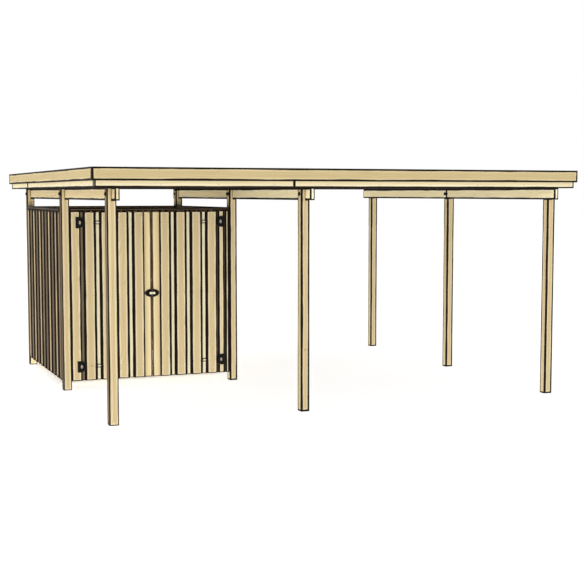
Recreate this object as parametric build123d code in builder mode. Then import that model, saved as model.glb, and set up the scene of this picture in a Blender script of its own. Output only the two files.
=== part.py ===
from build123d import *
import os

os.makedirs("parts", exist_ok=True)

# A flat-roofed timber carport with a tool shed in its rear left bay.
# X runs along the front from left to right, Y runs from front to back, Z is up.
# The origin is on the ground under the centre of the roof. All sizes are in millimetres.

# Grid of the nine posts, between post centres
left_bay = 1920
car_bay = 2840
row_pitch = 2135

# Posts, and the beams that lie in a notch at the head of each post
post_size = 90
head_height = 2205
beam_height = 120
beam_thickness = 45
beam_joint_bearing = 30

# Roof edge: a rim board all round, and a fascia board on its outer face
side_overhang = 171
front_overhang = 157
back_overhang = 203
rim_thickness = 28
rim_height = 168
rim_reveal = 61
fascia_thickness = 28
fascia_height = 124
beam_end_setback = 32
front_rim_first_board = 1938
side_rim_first_board = 3465
board_joint = 2

# Roof: rafters on the beams, a boarded deck and roofing felt turned up at the edges
rafter_thickness = 45
rafter_height = 120
rafter_count = 8
deck_thickness = 18
deck_board_pitch = 127
deck_groove = 5
felt_thickness = 4
felt_upstand = 26

# Shed walls: outer boards, inner boards behind their gaps, and rails
wall_foot = 98
gap_over_walls = 94
board_thickness = 19
board_width = 125
board_lap = 30
widest_gap = 70
rail_thickness = 45
rail_height = 70
low_rail_rise = 82
high_rail_drop = 157
cap_height = 34
cap_overhang = 8

# Fixed strips that close the shed front on both sides of the doors
left_strip = 118
left_reveal = 36
right_reveal = 14
right_strip = 74
batten_width = 42
batten_gap = 12
batten_clearance = 8
rebate_clearance = 8
stop_lap = 10
stop_clearance = 1

# Door leaves
meeting_gap = 5
head_clearance = 6
leaf_board_count = 4
meeting_board_reveal = 85
ledge_thickness = 28
ledge_height = 95
ledge_inset = 15
low_ledge_rise = 102
high_ledge_drop = 177
brace_width = 90

# Strap hinges: an eye on each cranked strap turns on the pin of a fixed plate
low_hinge_rise = 155
high_hinge_drop = 124
hinge_setout = 7
hinge_standoff = 11
pin_radius = 5
pin_clearance = 0.08
knuckle_radius = 10
knuckle_gap = 1
knuckle_height = 20
strap_length = 298
strap_width = 40
strap_thickness = 5
strap_housing_clearance = 0.4
strap_end_clearance = 2
plate_width = 82
plate_height = 124
plate_round = 40
plate_thickness = 5
plate_eye_clearance = 1.5

# Oval pull plate, half of it on each leaf
pull_height = 1040
pull_half_width = 78
pull_half_height = 45
pull_thickness = 6
grip_length = 36
grip_height = 24
grip_depth = 22

# Places that follow from the sizes above
grid_width = left_bay + car_bay
roof_width = grid_width + post_size + 2 * side_overhang
roof_length = 2 * row_pitch + post_size + front_overhang + back_overhang
first_row = -roof_length / 2 + front_overhang + post_size / 2
column_x = {"left": -grid_width / 2, "middle": left_bay - grid_width / 2, "right": grid_width / 2}
row_y = {"front": first_row, "middle": first_row + row_pitch, "back": first_row + 2 * row_pitch}
beam_side = {"left": 1, "middle": 1, "right": -1}
rim_width = roof_width - 2 * fascia_thickness
rim_length = roof_length - 2 * fascia_thickness
inner_width = rim_width - 2 * rim_thickness
inner_length = rim_length - 2 * rim_thickness
deck_bottom = head_height + rafter_height
deck_top = deck_bottom + deck_thickness
cladding = 2 * board_thickness
wall_head = head_height - beam_height - gap_over_walls - cap_height
low_rail = wall_foot + low_rail_rise
high_rail = wall_head - high_rail_drop
low_ledge = wall_foot + low_ledge_rise
high_ledge = wall_head - high_ledge_drop
hinge_heights = (wall_foot + low_hinge_rise, wall_head - high_hinge_drop)
shed_front = row_y["middle"] - post_size / 2
shed_back = row_y["back"] + post_size / 2
shed_left = column_x["left"] - post_size / 2
shed_right = column_x["middle"] + post_size / 2
front_left_jamb = column_x["left"] + post_size / 2
front_right_jamb = column_x["middle"] - post_size / 2
leaf_left_edge = front_left_jamb + left_strip + left_reveal
right_infill = right_strip + batten_gap + batten_width + batten_clearance
leaf_right_edge = front_right_jamb - right_infill - right_reveal
meeting_line = (leaf_left_edge + leaf_right_edge) / 2
leaf_width = meeting_line - leaf_left_edge - meeting_gap / 2
leaf_height = wall_head - head_clearance - wall_foot
leaf_board_pitch = (leaf_width - meeting_board_reveal - board_width) / (leaf_board_count - 1)


def save(part, name):
    part.label = name
    export_step(part, "parts/" + name + ".step")


# A post stands on the ground. Half of its head is cut away for the beam.
def make_post(name, x, y, side):
    with BuildPart() as post:
        with BuildSketch(Plane.XY):
            with Locations((x, y)):
                Rectangle(post_size, post_size)
        extrude(amount=head_height)
        with BuildSketch(Plane.XY.offset(head_height - beam_height)):
            with Locations((x + side * (post_size - beam_thickness) / 2, y)):
                Rectangle(beam_thickness, post_size)
        extrude(amount=beam_height, mode=Mode.SUBTRACT)
    save(post.part, name)


for column in column_x:
    for row in row_y:
        make_post("post_" + column + "_" + row, column_x[column], row_y[row], beam_side[column])


# A beam lies along Y in the notches. Two lengths meet over the middle post.
def make_beam(name, column, y_start, y_end):
    beam_x = column_x[column] + beam_side[column] * (post_size - beam_thickness) / 2
    with BuildPart() as beam:
        with BuildSketch(Plane.XY.offset(head_height - beam_height)):
            with Locations((beam_x, (y_start + y_end) / 2)):
                Rectangle(beam_thickness, y_end - y_start)
        extrude(amount=beam_height)
    save(beam.part, name)


beam_front_end = -roof_length / 2 + beam_end_setback
beam_back_end = roof_length / 2 - beam_end_setback
beam_joint = shed_front + beam_joint_bearing
for column in column_x:
    make_beam("beam_" + column + "_front", column, beam_front_end, beam_joint)
    make_beam("beam_" + column + "_back", column, beam_joint + board_joint, beam_back_end)

# The rafters lie across the three beams and end against the rim boards.
rafter_pitch = (inner_length - rafter_thickness) / (rafter_count - 1)
with BuildPart() as rafters:
    with BuildSketch(Plane.XY.offset(head_height)):
        with GridLocations(inner_width, rafter_pitch, 1, rafter_count):
            Rectangle(inner_width, rafter_thickness)
    extrude(amount=rafter_height)
save(rafters.part, "rafters")

# The deck is boarded along Y, with a V groove at each board joint seen from below.
deck_joint_count = int(inner_width / deck_board_pitch)
with BuildPart() as roof_deck:
    with BuildSketch(Plane.XZ.offset(inner_length / 2)):
        with Locations((0, deck_bottom + deck_thickness / 2)):
            Rectangle(inner_width, deck_thickness)
        with Locations((0, deck_bottom)):
            with GridLocations(deck_board_pitch, 1, deck_joint_count, 1):
                Rectangle(deck_groove, deck_groove, rotation=45, mode=Mode.SUBTRACT)
    extrude(amount=-inner_length)
save(roof_deck.part, "roof_deck")

# The felt covers the deck and turns up against the rim boards.
with BuildPart() as roof_felt:
    with BuildSketch(Plane.XY.offset(deck_top)):
        Rectangle(inner_width, inner_length)
    extrude(amount=felt_upstand)
    with BuildSketch(Plane.XY.offset(deck_top + felt_thickness)):
        Rectangle(inner_width - 2 * felt_thickness, inner_length - 2 * felt_thickness)
    extrude(amount=felt_upstand, mode=Mode.SUBTRACT)
save(roof_felt.part, "roof_felt")


# A rim board along X is made of two lengths with a fine joint between them.
def make_rim_across(name, y):
    first_end = -rim_width / 2 + front_rim_first_board
    second_start = first_end + board_joint
    with BuildPart() as rim:
        with BuildSketch(Plane.XY.offset(head_height)):
            with Locations(((first_end - rim_width / 2) / 2, y)):
                Rectangle(front_rim_first_board, rim_thickness)
            with Locations(((second_start + rim_width / 2) / 2, y)):
                Rectangle(rim_width / 2 - second_start, rim_thickness)
        extrude(amount=rim_height)
    save(rim.part, name)


# A rim board along Y fits between the boards along X.
def make_rim_along(name, x):
    first_end = -rim_length / 2 + side_rim_first_board
    second_start = first_end + board_joint
    half = inner_length / 2
    with BuildPart() as rim:
        with BuildSketch(Plane.XY.offset(head_height)):
            with Locations((x, (first_end - half) / 2)):
                Rectangle(rim_thickness, first_end + half)
            with Locations((x, (second_start + half) / 2)):
                Rectangle(rim_thickness, half - second_start)
        extrude(amount=rim_height)
    save(rim.part, name)


make_rim_across("rim_front", -(rim_length - rim_thickness) / 2)
make_rim_across("rim_back", (rim_length - rim_thickness) / 2)
make_rim_along("rim_left", -(rim_width - rim_thickness) / 2)
make_rim_along("rim_right", (rim_width - rim_thickness) / 2)


# A fascia board is as long as its side of the roof and is mitred at both corners.
def make_fascia(name, length, depth, turn):
    edge = Plane.XY.offset(head_height + rim_reveal).rotated((0, 0, turn))
    with BuildPart() as fascia:
        with BuildSketch(edge):
            with BuildLine():
                Polyline(
                    (-length / 2, -depth / 2),
                    (length / 2, -depth / 2),
                    (length / 2 - fascia_thickness, -depth / 2 + fascia_thickness),
                    (-length / 2 + fascia_thickness, -depth / 2 + fascia_thickness),
                    close=True,
                )
            make_face()
        extrude(amount=fascia_height)
    save(fascia.part, name)


make_fascia("fascia_front", roof_width, roof_length, 0)
make_fascia("fascia_right", roof_length, roof_width, 90)
make_fascia("fascia_back", roof_width, roof_length, 180)
make_fascia("fascia_left", roof_length, roof_width, 270)


# A wall fits between two posts. Its plane starts at one post on the outer face and has its
# x direction along the wall, its y direction outward. Rails join the boards on the inside.
def make_wall(name, corner, run, span):
    outer_count = int((span + widest_gap) / (board_width + widest_gap)) + 1
    gap = (span - outer_count * board_width) / (outer_count - 1)
    with BuildPart() as wall:
        with BuildSketch(Plane(origin=(*corner, wall_foot), x_dir=run, z_dir=(0, 0, 1))):
            with Locations((span / 2, -board_thickness / 2)):
                with GridLocations(board_width + gap, 1, outer_count, 1):
                    Rectangle(board_width, board_thickness)
            with Locations((span / 2, -board_thickness * 1.5)):
                with GridLocations(board_width + gap, 1, outer_count - 1, 1):
                    Rectangle(gap + 2 * board_lap, board_thickness)
        extrude(amount=wall_head - wall_foot)
        for height in (low_rail, (low_rail + high_rail) / 2, high_rail):
            with BuildSketch(Plane(origin=(*corner, height), x_dir=run, z_dir=(0, 0, 1))):
                with Locations((span / 2, -cladding - rail_thickness / 2)):
                    Rectangle(span, rail_thickness)
            extrude(amount=rail_height)
    save(wall.part, name)


# A cap covers the boards and rails along the head of a wall.
def make_cap(name, corner, run, span):
    cap_depth = cladding + rail_thickness + cap_overhang
    with BuildPart() as cap:
        with BuildSketch(Plane(origin=(*corner, wall_head), x_dir=run, z_dir=(0, 0, 1))):
            with Locations((span / 2, cap_overhang - cap_depth / 2)):
                Rectangle(span, cap_depth)
        extrude(amount=cap_height)
    save(cap.part, name)


side_span = row_pitch - post_size
back_span = left_bay - post_size
side_start = row_y["middle"] + post_size / 2
side_end = row_y["back"] - post_size / 2
wall_runs = {
    "left": ((shed_left, side_start), (0, 1, 0), side_span),
    "back": ((front_left_jamb, shed_back), (1, 0, 0), back_span),
    "right": ((shed_right, side_end), (0, -1, 0), side_span),
}
for side, (corner, run, span) in wall_runs.items():
    make_wall("shed_wall_" + side, corner, run, span)
    make_cap("wall_cap_" + side, corner, run, span)
make_cap("door_head", (front_right_jamb, shed_front), (-1, 0, 0), back_span)

# The left strip is one board beside the post. The jamb behind it reaches behind the edge of the
# door leaf, where it is rebated and serves as the door's stop.
jamb_depth = board_thickness + rail_thickness
jamb_front = shed_front + board_thickness
left_jamb_width = left_strip + left_reveal + stop_lap
left_rebate_width = rebate_clearance + stop_lap
left_jamb_end = front_left_jamb + left_jamb_width
with BuildPart() as front_strip_left:
    with BuildSketch(Plane.XY.offset(wall_foot)):
        with Locations((front_left_jamb + left_strip / 2, shed_front + board_thickness / 2)):
            Rectangle(left_strip, board_thickness)
        with Locations((front_left_jamb + left_jamb_width / 2, jamb_front + jamb_depth / 2)):
            Rectangle(left_jamb_width, jamb_depth)
        with Locations((left_jamb_end - left_rebate_width / 2, jamb_front + stop_clearance / 2)):
            Rectangle(left_rebate_width, stop_clearance, mode=Mode.SUBTRACT)
    extrude(amount=wall_head - wall_foot)
save(front_strip_left.part, "front_strip_left")

# The right strip has a narrow batten beside it, next to the post, and a jamb of the same kind.
right_jamb_width = right_infill + right_reveal + stop_lap
right_rebate_width = right_reveal + stop_lap
right_jamb_end = front_right_jamb - right_jamb_width
batten_centre = front_right_jamb - batten_clearance - batten_width / 2
with BuildPart() as front_strip_right:
    with BuildSketch(Plane.XY.offset(wall_foot)):
        with Locations((front_right_jamb - right_infill + right_strip / 2, shed_front + board_thickness / 2)):
            Rectangle(right_strip, board_thickness)
        with Locations((batten_centre, shed_front + board_thickness / 2)):
            Rectangle(batten_width, board_thickness)
        with Locations((front_right_jamb - right_jamb_width / 2, jamb_front + jamb_depth / 2)):
            Rectangle(right_jamb_width, jamb_depth)
        with Locations((right_jamb_end + right_rebate_width / 2, jamb_front + stop_clearance / 2)):
            Rectangle(right_rebate_width, stop_clearance, mode=Mode.SUBTRACT)
    extrude(amount=wall_head - wall_foot)
save(front_strip_right.part, "front_strip_right")

# A leaf is boarded like the walls. Ledges and a brace join its boards on the inside, and
# a shallow housing behind the outer boards takes each hinge strap.
leaf_origin = (leaf_left_edge, shed_front)
meeting_board = meeting_board_reveal + board_lap
leaf_gap = leaf_board_pitch - board_width
brace_foot = low_ledge + ledge_height
brace_head = high_ledge
housing_length = strap_length + strap_end_clearance
housing_depth = strap_thickness + strap_housing_clearance
housing_height = strap_width + 2 * strap_housing_clearance
with BuildPart() as door_left:
    with BuildSketch(Plane(origin=(*leaf_origin, wall_foot))):
        for board in range(leaf_board_count):
            with Locations((board * leaf_board_pitch + board_width / 2, board_thickness / 2)):
                Rectangle(board_width, board_thickness)
        for board in range(leaf_board_count - 1):
            gap_centre = board * leaf_board_pitch + board_width + leaf_gap / 2
            with Locations((gap_centre, board_thickness * 1.5)):
                Rectangle(leaf_gap + 2 * board_lap, board_thickness)
        with Locations((leaf_width - meeting_board / 2, board_thickness * 1.5)):
            Rectangle(meeting_board, board_thickness)
    extrude(amount=leaf_height)
    for height in (low_ledge, (low_ledge + high_ledge) / 2, high_ledge):
        with BuildSketch(Plane(origin=(*leaf_origin, height))):
            with Locations((leaf_width / 2, cladding + ledge_thickness / 2)):
                Rectangle(leaf_width - 2 * ledge_inset, ledge_thickness)
        extrude(amount=ledge_height)
    with BuildSketch(Plane.XZ.offset(-shed_front - cladding)):
        with BuildLine():
            Polyline(
                (leaf_left_edge + ledge_inset, brace_foot),
                (leaf_left_edge + ledge_inset + brace_width, brace_foot),
                (leaf_left_edge + leaf_width - ledge_inset, brace_head),
                (leaf_left_edge + leaf_width - ledge_inset - brace_width, brace_head),
                close=True,
            )
        make_face()
    extrude(amount=-ledge_thickness)
    for height in hinge_heights:
        with BuildSketch(Plane(origin=(*leaf_origin, height - housing_height / 2))):
            with Locations((housing_length / 2, board_thickness - housing_depth / 2)):
                Rectangle(housing_length, housing_depth)
        extrude(amount=housing_height, mode=Mode.SUBTRACT)
save(door_left.part, "door_left")

# The strap lies flat on the inner boards and is cranked forward to its eye at the leaf's edge.
pin_x = leaf_left_edge - hinge_setout
pin_y = shed_front - hinge_standoff
crank_start = pin_y + pin_radius + pin_clearance
strap_front = shed_front + board_thickness - strap_thickness
with BuildPart() as door_left_straps:
    for height in hinge_heights:
        with BuildSketch(Plane.XY.offset(height - strap_width / 2)):
            with Locations((pin_x, pin_y)):
                Circle(knuckle_radius)
            with Locations((leaf_left_edge - strap_thickness / 2, (crank_start + strap_front + strap_thickness) / 2)):
                Rectangle(strap_thickness, strap_front + strap_thickness - crank_start)
            with Locations((leaf_left_edge + strap_length / 2, strap_front + strap_thickness / 2)):
                Rectangle(strap_length, strap_thickness)
            with Locations((pin_x, pin_y)):
                Circle(pin_radius + pin_clearance, mode=Mode.SUBTRACT)
        extrude(amount=strap_width)
save(door_left_straps.part, "door_left_straps")

# A fixed plate is straight on its outer side and rounded towards the door. Its two short
# knuckles hold the pin, and the eye of the strap turns between them.
knuckle_offset = strap_width / 2 + knuckle_gap
pin_half = knuckle_offset + knuckle_height
with BuildPart() as hinge_plates_left:
    for height in hinge_heights:
        with BuildSketch(Plane.XZ.offset(-shed_front)):
            with Locations((pin_x - plate_round, height)):
                Ellipse(plate_round, plate_height / 2)
            with Locations((pin_x - plate_round - (plate_width - plate_round) / 2, height)):
                Rectangle(plate_width - plate_round, plate_height)
        extrude(amount=plate_thickness)
        with BuildSketch(Plane.XY.offset(height - knuckle_offset)):
            with Locations((pin_x, pin_y)):
                Circle(knuckle_radius + plate_eye_clearance)
        extrude(amount=2 * knuckle_offset, mode=Mode.SUBTRACT)
        with BuildSketch(Plane.XY.offset(height - pin_half)):
            with Locations((pin_x, pin_y)):
                Circle(knuckle_radius)
        extrude(amount=knuckle_height)
        with BuildSketch(Plane.XY.offset(height + knuckle_offset)):
            with Locations((pin_x, pin_y)):
                Circle(knuckle_radius)
        extrude(amount=knuckle_height)
        with BuildSketch(Plane.XY.offset(height - pin_half)):
            with Locations((pin_x, pin_y)):
                Circle(pin_radius)
        extrude(amount=2 * pin_half)
save(hinge_plates_left.part, "hinge_plates_left")

# Half of the oval pull plate lies on the meeting board, with a grip on it.
pull_face = shed_front + board_thickness
meeting_edge = leaf_left_edge + leaf_width
with BuildPart() as door_left_pull:
    with BuildSketch(Plane.XZ.offset(-pull_face)):
        with Locations((meeting_edge, pull_height)):
            Ellipse(pull_half_width, pull_half_height)
        with Locations((meeting_edge + pull_half_width / 2, pull_height)):
            Rectangle(pull_half_width, 2 * pull_half_height, mode=Mode.SUBTRACT)
    extrude(amount=pull_thickness)
    with BuildSketch(Plane.XZ.offset(-pull_face)):
        with Locations((meeting_edge - grip_length / 2, pull_height)):
            Rectangle(grip_length, grip_height)
    extrude(amount=grip_depth)
save(door_left_pull.part, "door_left_pull")

# The right leaf and its iron mirror the left about the meeting line.
meeting_plane = Plane.YZ.offset(meeting_line)
for left_piece, right_name in (
    (door_left, "door_right"),
    (door_left_straps, "door_right_straps"),
    (hinge_plates_left, "hinge_plates_right"),
    (door_left_pull, "door_right_pull"),
):
    with BuildPart() as right_piece:
        mirror(left_piece.part, about=meeting_plane)
    save(right_piece.part, right_name)
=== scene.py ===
# %% [markdown]
# # A flat-roofed timber carport with a tool shed
# The construction model gives every post, beam, board and hinge at its real size. This script
# gives them their surfaces: planed pine with its year rings, knots and darkened edges, black
# iron on the doors, bitumen felt on the roof, and the bolts and nails that hold it together.

# %% Load the frame
import itertools
import math
import random

import bmesh
import bpy
from mathutils import Matrix, Vector


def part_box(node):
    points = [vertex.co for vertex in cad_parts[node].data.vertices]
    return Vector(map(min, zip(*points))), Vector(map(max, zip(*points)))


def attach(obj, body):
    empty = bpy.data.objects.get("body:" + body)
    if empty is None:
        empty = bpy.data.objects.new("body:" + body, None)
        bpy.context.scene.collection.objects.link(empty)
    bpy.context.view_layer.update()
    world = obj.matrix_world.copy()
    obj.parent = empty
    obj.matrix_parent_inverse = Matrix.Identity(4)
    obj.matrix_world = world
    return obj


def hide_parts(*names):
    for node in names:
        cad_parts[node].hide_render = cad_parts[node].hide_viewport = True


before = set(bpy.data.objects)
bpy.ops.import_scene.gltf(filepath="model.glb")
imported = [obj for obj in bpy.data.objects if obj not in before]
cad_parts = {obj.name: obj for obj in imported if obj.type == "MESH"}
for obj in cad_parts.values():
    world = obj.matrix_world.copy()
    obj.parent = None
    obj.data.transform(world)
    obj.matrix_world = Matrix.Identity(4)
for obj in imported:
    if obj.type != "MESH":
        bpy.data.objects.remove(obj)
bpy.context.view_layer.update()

# %% [markdown]
# Sizes are easier to read in millimetres, as a joiner gives them, and Blender works in metres.
# One constant turns one into the other.

# %% Millimetres
MM = 0.001
head_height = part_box("post_left_front")[1].z
print("post head at", round(head_height / MM), "mm")

# %% [markdown]
# The picture looks from a little below the height of the roof edge, and from far to the left of
# the carport. The lines of the building and their vanishing points tell where the camera stands.

# %% Camera
IMAGE_SIZE = 584
SENSOR_WIDTH = 36
FOCAL_LENGTH_PIXELS = 1180.24
EYE = Vector((-4.932, -12.836, 2.149))
HEADING = math.radians(22.157)
TILT = math.radians(-4.77)

camera_data = bpy.data.cameras.new("camera")
camera_data.sensor_width = SENSOR_WIDTH
camera_data.lens = FOCAL_LENGTH_PIXELS / IMAGE_SIZE * SENSOR_WIDTH
camera = bpy.data.objects.new("camera", camera_data)
camera.location = EYE
camera.rotation_euler = (math.pi / 2 + TILT, 0, -HEADING)
bpy.context.scene.collection.objects.link(camera)
bpy.context.scene.camera = camera
print("lens", round(camera_data.lens, 1), "mm")

# %% [markdown]
# Colours are written as sRGB hex values, the way a paint chart gives them. Blender's sockets
# expect linear light, so one function turns one into the other.

# %% Colour
def colour(hex_value):
    """Linear red, green, blue and alpha of an sRGB hex colour such as #D6C194."""
    parts = [int(hex_value[i:i + 2], 16) / 255 for i in (1, 3, 5)]
    return tuple([p / 12.92 if p <= 0.04045 else ((p + 0.055) / 1.055) ** 2.4 for p in parts] + [1])


print("#D6C194 in linear light:", [round(part, 3) for part in colour("#D6C194")[:3]])

# %% [markdown]
# A material is a network of nodes. One small function adds a node, with its settings and its
# inputs. An input is a plain value, an output of another node, or a node, which stands for its
# first output. Inputs come in their order or by name, and the same can be said of a node that
# is already there, such as the shader that every material starts with.

# %% Add a node
def fill(node, *values, **named):
    """Fills a node's inputs in their order, then by name, with plain values or what other nodes give."""
    usable = [socket for socket in node.inputs if socket.enabled]
    by_name = {socket.name.replace(" ", "_"): socket for socket in reversed(usable)}
    for socket, value in [*zip(usable, values), *((by_name[name], named[name]) for name in named)]:
        if isinstance(value, bpy.types.Node):
            value = next(output for output in value.outputs if output.enabled)
        if isinstance(value, bpy.types.NodeSocket):
            node.id_data.links.new(value, socket)
        else:
            socket.default_value = value


def add(tree, kind, *values, **named):
    """Adds a node. Names with a capital are inputs, with _ for a space, and the others are settings."""
    node = tree.nodes.new(kind if kind.startswith("NodeGroup") else "ShaderNode" + kind)
    for name, value in named.items():
        if name[0].islower():
            setattr(node, name, value)
    fill(node, *values, **{name: value for name, value in named.items() if name[0].isupper()})
    return node


def new_material(name):
    """A material, its tree, its shader, and the place on the object that patterns are drawn in."""
    material = bpy.data.materials.new(name)
    material.use_nodes = True
    tree = material.node_tree
    return material, tree, tree.nodes["Principled BSDF"], add(tree, "TexCoord").outputs["Object"]


print("helpers: fill, add and new_material")

# %% [markdown]
# The picture's background is white, and the timber in it is lit so evenly that it has hardly any
# shade, even on the beams under the roof. A photographer gets that light in a white studio: the
# walls glow near the horizon, and the floor throws as much light up as the ceiling throws down.
# The world is white only to the camera and to mirror-like rays, and it lights the timber at a
# plain level, more from the horizon than from above.

# %% World
HORIZON_LIGHT = 0.48
CEILING_LIGHT = 0.36
CEILING_FROM = 0.6
WHITE = (1, 1, 1, 1)


def seen_directly(tree):
    """1 for a ray that shows the background itself: from the camera, a mirror or through glass."""
    rays = add(tree, "LightPath").outputs
    mirrored = add(tree, "Math", rays["Is Glossy Ray"], rays["Is Transmission Ray"], operation="MAXIMUM")
    return add(tree, "Math", rays["Is Camera Ray"], mirrored, operation="MAXIMUM")


world = bpy.data.worlds.new("studio")
world.use_nodes = True
bpy.context.scene.world = world
tree = world.node_tree
toward = add(tree, "SeparateXYZ", add(tree, "TexCoord").outputs["Generated"])
light = add(tree, "MapRange", toward.outputs["Z"], 0, CEILING_FROM, HORIZON_LIGHT, CEILING_LIGHT)
strength = add(tree, "Mix", seen_directly(tree), light, 1)
fill(tree.nodes["Background"], Color=WHITE, Strength=strength)
print("world: horizon", HORIZON_LIGHT, "ceiling", CEILING_LIGHT)

# %% [markdown]
# The floor is a white plane, which isn't part of the carport.

# %% Floor
FLOOR_HALF_WIDTH = 60

reach = FLOOR_HALF_WIDTH
floor_corners = [(-reach, -reach, 0), (reach, -reach, 0), (reach, reach, 0), (-reach, reach, 0)]
floor_mesh = bpy.data.meshes.new("floor")
floor_mesh.from_pydata(floor_corners, [], [(0, 1, 2, 3)])
floor = bpy.data.objects.new("floor", floor_mesh)
bpy.context.scene.collection.objects.link(floor)
print("floor", 2 * FLOOR_HALF_WIDTH, "m square")

# %% [markdown]
# Seen directly the floor is nearly as white as the world, yet dull enough to keep the soft shadow under the
# building. For every other ray it is the luminous floor of the studio. Inside the shed, behind the doors, its
# glow to the camera is taken away, as painted shade of the shed's inside seen through the narrow gaps round
# its doors, but it gives more light, so that the beam over the shed is as bright as the others.

# %% Light of the floor
FLOOR_SEEN = 0.88
FLOOR_GLOW = 0.76
FLOOR_BOUNCE = 0.3
FLOOR_LIGHT = 1.5
LIGHT_IN_SHED = 7
LIT_BEHIND_DOORS = 0.45
DARKENS_OVER = 0.35


def lit_surface(tree, share, strength):
    """A white surface that throws back a share of the light and gives some of its own."""
    white = add(tree, "BsdfDiffuse", Color=(share, share, share, 1))
    glow = add(tree, "Emission", Color=WHITE, Strength=strength)
    return add(tree, "AddShader", white, glow)


floor_material, tree, surface, place = new_material("white_studio_floor")
tree.nodes.remove(surface)
dark_low = Vector((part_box("shed_wall_left")[0].x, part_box("door_left")[0].y + LIT_BEHIND_DOORS, 0))
dark_high = Vector((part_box("shed_wall_right")[1].x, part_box("shed_wall_back")[1].y, 0))
away = add(tree, "VectorMath", place, (dark_low + dark_high) / 2, operation="SUBTRACT")
away = add(tree, "VectorMath", away, operation="ABSOLUTE")
away = add(tree, "VectorMath", away, (dark_high - dark_low) / 2, operation="SUBTRACT")
away = add(tree, "SeparateXYZ", away).outputs
outside = add(tree, "Math", away["X"], away["Y"], operation="MAXIMUM")
# no glow to the camera inside the shed: painted shade of its inside
glow = add(tree, "MapRange", outside, -DARKENS_OVER, 0, 0, FLOOR_GLOW)
panel_light = add(tree, "MapRange", outside, -DARKENS_OVER, 0, LIGHT_IN_SHED, FLOOR_LIGHT)
to_camera = lit_surface(tree, FLOOR_SEEN, glow)
to_timber = lit_surface(tree, FLOOR_BOUNCE, panel_light)
both = add(tree, "MixShader", seen_directly(tree), to_timber, to_camera)
fill(tree.nodes["Material Output"], Surface=both)
floor_mesh.materials.append(floor_material)
print("the floor lights the timber at", FLOOR_LIGHT)

# %% [markdown]
# One broad and low lamp at the front left gives the fronts and left sides the same light. It
# stands so low that it reaches under the roof, and it is so wide that no post throws a shadow
# with an edge. A weak lamp at the right keeps the right sides from going grey.

# %% Lamps
LAMPS = {
    "key": {"azimuth": -62, "elevation": 6, "strength": 0.75, "angle": 40},
    "fill": {"azimuth": 48, "elevation": 20, "strength": 0.25, "angle": 60},
}

for name, settings in LAMPS.items():
    data = bpy.data.lights.new(name, "SUN")
    data.energy = settings["strength"]
    data.angle = math.radians(settings["angle"])
    lamp = bpy.data.objects.new(name, data)
    azimuth, elevation = math.radians(settings["azimuth"]), math.radians(settings["elevation"])
    toward_lamp = Vector((math.sin(azimuth) * math.cos(elevation), -math.cos(azimuth) * math.cos(elevation),
                          math.sin(elevation)))
    lamp.rotation_euler = toward_lamp.to_track_quat("Z", "Y").to_euler()
    bpy.context.scene.collection.objects.link(lamp)
    print(name, "lamp, strength", data.energy)

bpy.context.scene.view_settings.view_transform = "Standard"

# %% [markdown]
# ## Planed pine
# Sawn timber is cut out of a round stem, so its figure is solid: the same year rings show as
# long flames on a broad face, as straight lines on a narrow one and as arcs on the end. The
# pattern is therefore worked out in three dimensions from the distance to the pith, which runs
# beside each timber at a place of its own and wanders a little along the stem.
#
# Every timber says where its centre is, how large it is, which way its fibres run, and its
# number, from which it takes its own cut out of the stem. Year rings of pine are 2 to 6 mm
# wide. One pixel of the picture is about 10 mm, so the rings are drawn 13 mm wide.

# %% Sizes of the figure
RING_WIDTH = 13 * MM
PITH_REACH = 150 * MM
STEM_STEP = 3.7
WANDER = 24 * MM
WANDER_LENGTH = 900 * MM
WAVE = 4 * MM
WAVE_LENGTH = 90 * MM
WAVE_STRETCH = 0.2
print("year rings are drawn", round(RING_WIDTH / MM), "mm wide")

# %% [markdown]
# The figure is a node group, because every kind of pine uses it. Groups take what they need
# through named sockets and give numbers from 0 to 1 as masks.

# %% Node groups
def new_group(name, inputs, masks):
    """A node group with inputs of given kinds and masks as outputs, and what it is given."""
    group = bpy.data.node_groups.new(name, "ShaderNodeTree")
    for label, kind in inputs.items():
        group.interface.new_socket(label, in_out="INPUT", socket_type="NodeSocket" + kind)
    for label in masks:
        group.interface.new_socket(label, in_out="OUTPUT", socket_type="NodeSocketFloat")
    return group, add(group, "NodeGroupInput").outputs


def part_along(tree, vector, along, factor):
    """The part of a vector that lies along the fibres, times a factor."""
    part = add(tree, "VectorMath", vector, along, operation="DOT_PRODUCT")
    part = add(tree, "Math", part, factor, operation="MULTIPLY")
    return add(tree, "VectorMath", along, part, operation="SCALE")


figure, given = new_group("pine_figure", {"Offset": "Vector", "Along": "Vector", "Number": "Float"},
                          ("Late wood", "Knot", "Streak", "Fibre", "Tone"))
print("the figure is given", [socket.name for socket in given if socket.name])

# %% Year rings
MIDDLE_GREY = (0.5, 0.5, 0.5)


def random_shift(random_colour, reach):
    """A random colour as a shift, by as much as half of reach to every side."""
    centred = add(figure, "VectorMath", random_colour, MIDDLE_GREY, operation="SUBTRACT")
    return add(figure, "VectorMath", centred, reach, operation="SCALE")


own = add(figure, "TexWhiteNoise", W=given["Number"], noise_dimensions="1D")
pith = random_shift(own.outputs["Color"], 2 * PITH_REACH)
point = add(figure, "VectorMath", given["Offset"], pith, operation="ADD")
length = add(figure, "VectorMath", point, given["Along"], operation="DOT_PRODUCT")
lengthwise = add(figure, "VectorMath", given["Along"], length, operation="SCALE")
across = add(figure, "VectorMath", point, lengthwise, operation="SUBTRACT")
place_in_stem = add(figure, "Math", given["Number"], STEM_STEP, length, operation="MULTIPLY_ADD")


def stretched(squeeze):
    """The point with its place along the fibres squeezed, so that a pattern is drawn out lengthwise."""
    part = add(figure, "Math", place_in_stem, squeeze, operation="MULTIPLY")
    part = add(figure, "VectorMath", given["Along"], part, operation="SCALE")
    return add(figure, "VectorMath", across, part, operation="ADD")


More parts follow.
